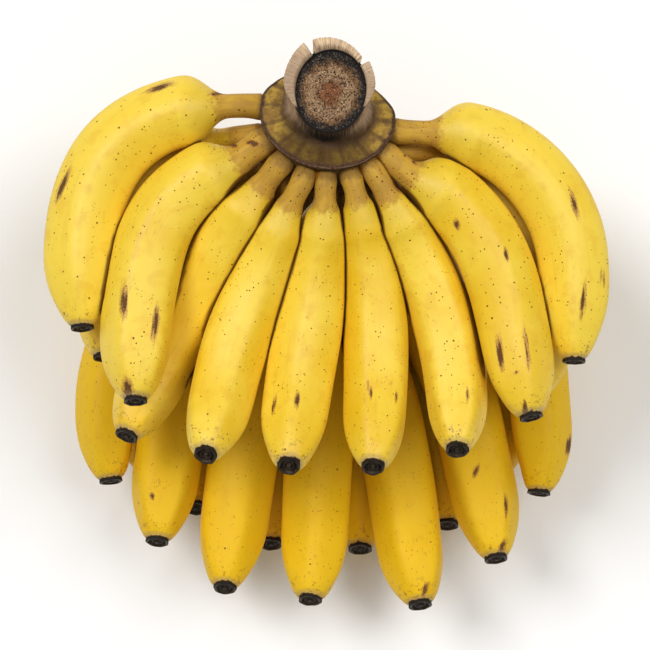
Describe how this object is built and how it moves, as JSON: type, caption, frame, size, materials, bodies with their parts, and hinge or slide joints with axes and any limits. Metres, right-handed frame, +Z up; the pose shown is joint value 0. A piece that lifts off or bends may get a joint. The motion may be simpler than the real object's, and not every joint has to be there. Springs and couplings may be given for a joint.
{
  "type": "bunch of bananas",
  "caption": "Bunch of ripe yellow bananas in two hands on a cut stalk, lying down with the cut end up, each fruit ridged, curved and ending in a dark dried tip.",
  "frame": {"origin": "middle of the bunch's bounding box on the surface that it lies on", "axes": "+Z up, towards the cut end of the stalk; -Y is the way the middle fruits hang from the stalk; +X is to the right seen from above"},
  "size_m": [0.285, 0.2906, 0.1603],
  "materials": {
    "banana_skin": "ripe yellow banana skin, softly glossy, with a tan neck and a nearly black dried tip",
    "stalk_fibre": "fibrous brown cut stalk with an olive cushion and a dark scar ring"
  },
  "bodies": {
    "root": {"stalk": "stalk_fibre", "banana_front_1": "banana_skin", "banana_front_2": "banana_skin", "banana_front_3": "banana_skin", "banana_front_4": "banana_skin", "banana_front_5": "banana_skin", "banana_front_6": "banana_skin", "banana_front_7": "banana_skin", "banana_front_8": "banana_skin", "banana_front_9": "banana_skin", "banana_behind_1": "banana_skin", "banana_behind_2": "banana_skin", "banana_behind_3": "banana_skin", "banana_behind_4": "banana_skin", "banana_behind_5": "banana_skin", "banana_behind_6": "banana_skin", "banana_behind_7": "banana_skin", "banana_lower_1": "banana_skin", "banana_lower_2": "banana_skin", "banana_lower_3": "banana_skin", "banana_lower_4": "banana_skin", "banana_lower_5": "banana_skin", "banana_lower_6": "banana_skin", "banana_lower_7": "banana_skin", "banana_back_1": "banana_skin", "banana_back_2": "banana_skin", "banana_back_3": "banana_skin", "banana_back_4": "banana_skin", "banana_back_5": "banana_skin", "banana_back_6": "banana_skin"}
  },
  "joints": []
}
